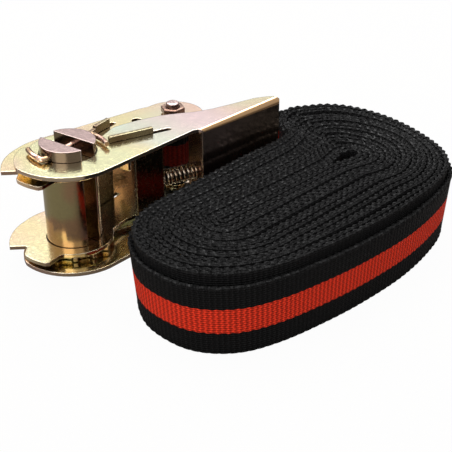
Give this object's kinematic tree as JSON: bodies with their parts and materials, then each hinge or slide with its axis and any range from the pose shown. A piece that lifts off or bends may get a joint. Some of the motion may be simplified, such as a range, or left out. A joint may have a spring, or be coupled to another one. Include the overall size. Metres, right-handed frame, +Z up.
{
  "type": "ratchet strap",
  "caption": "Closed ratchet buckle lying on its side beside a flat oval coil of striped webbing; the frame swings from the handle, the slotted spool turns and the pawls slide.",
  "frame": {"origin": "middle of the underside of the whole model's bounding box, on the floor it lies on", "axes": "+Z up and along the spool axis, +X along the coil from the spool end to the grip end, +Y away from the coil towards the buckle's back"},
  "size_m": [0.151, 0.107, 0.0454],
  "materials": {
    "yellow_zinc": "yellow zinc passivated sheet, mirror-like with pink and pale blue tints",
    "bronze_zinc": "coppery brown passivated bar, satin bright",
    "spring_wire": "bright spring wire",
    "webbing": "black woven polyester with an orange-red centre stripe"
  },
  "bodies": {
    "handle": {"handle": "yellow_zinc", "strap_coil": "webbing", "drive_spring": "spring_wire"},
    "frame": {"frame": "yellow_zinc", "tail_bolt": "bronze_zinc", "tail_nut": "bronze_zinc", "tail_sleeve": "yellow_zinc", "strap_eye": "webbing", "strap_lead": "webbing", "lock_spring": "spring_wire"},
    "spool": {"spool_bar_near": "bronze_zinc", "spool_bar_far": "bronze_zinc", "ratchet_wheel_upper": "yellow_zinc", "ratchet_wheel_lower": "yellow_zinc", "split_pin_upper": "bronze_zinc", "split_pin_lower": "bronze_zinc"},
    "drive_pawl": {"drive_pawl": "yellow_zinc"},
    "lock_pawl": {"lock_pawl": "yellow_zinc"}
  },
  "joints": [
    {"name": "frame_swing", "type": "hinge", "parent": "handle", "child": "frame", "pos_m": [-0.0534, 0.03233, 0.0227], "axis": [0, 0, 1], "range_deg": [0, 175], "deforming": ["strap_lead"]},
    {"name": "spool_spin", "type": "hinge", "parent": "frame", "child": "spool", "pos_m": [-0.0534, 0.03233, 0.0227], "axis": [0, 0, 1], "continuous": true},
    {"name": "drive_pawl_pull", "type": "slide", "parent": "handle", "child": "drive_pawl", "axis": [0.9877, -0.1564, 0], "range_m": [0, 0.0055], "stiffness_N_per_m": 300, "springref_m": -0.004, "deforming": ["drive_spring"]},
    {"name": "lock_pawl_pull", "type": "slide", "parent": "frame", "child": "lock_pawl", "axis": [0.9397, 0.342, 0], "range_m": [0, 0.003], "stiffness_N_per_m": 300, "springref_m": -0.003, "deforming": ["lock_spring"]}
  ]
}
